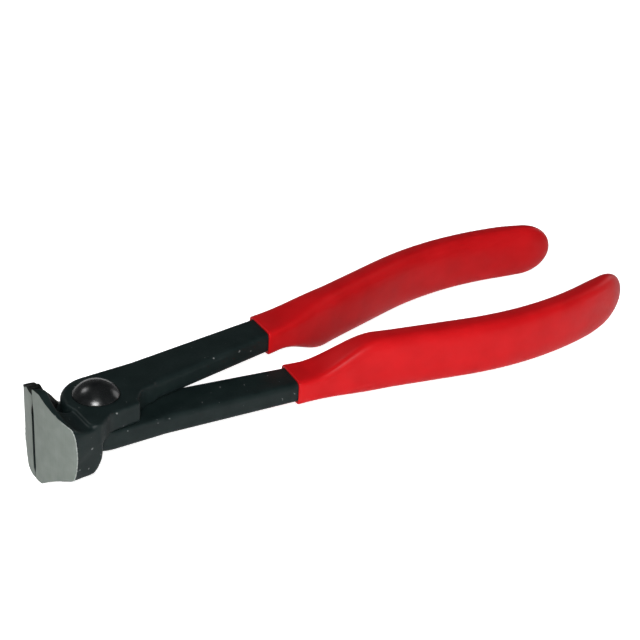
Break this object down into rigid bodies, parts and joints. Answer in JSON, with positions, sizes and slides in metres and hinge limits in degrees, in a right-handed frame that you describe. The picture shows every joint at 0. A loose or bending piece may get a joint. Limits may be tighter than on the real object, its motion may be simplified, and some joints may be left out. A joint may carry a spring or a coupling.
{
  "type": "end cutting nippers",
  "caption": "End cutting nippers with blackened forged levers on a riveted lap joint, ground cutting jaws across the end and dipped red handle grips.",
  "frame": {"origin": "centre of the bounding box, on the tool's long axis, 0.2 mm below the lap plane; the pivot axis is at x = -64.6 mm", "axes": "+X along the tool from the cutting edges to the handle tips, +Y across the tool towards the upper lever's handle, +Z along the pivot axis towards the upper lever's rivet head"},
  "size_m": [0.16, 0.0464, 0.024],
  "materials": {
    "blackened_steel": "satin black oxide over a forged surface, with bare ground cutting faces",
    "rivet_steel": "polished black oxide",
    "red_grip": "semi-gloss dipped vinyl"
  },
  "bodies": {
    "lower_half": {"lower_lever": "blackened_steel", "pivot_rivet": "rivet_steel", "lower_grip": "red_grip"},
    "upper_half": {"upper_lever": "blackened_steel", "upper_grip": "red_grip"}
  },
  "joints": [
    {"name": "pivot", "type": "hinge", "parent": "lower_half", "child": "upper_half", "pos_m": [-0.0646, 0, 0], "axis": [0, 0, 1], "range_deg": [0, 28]}
  ]
}
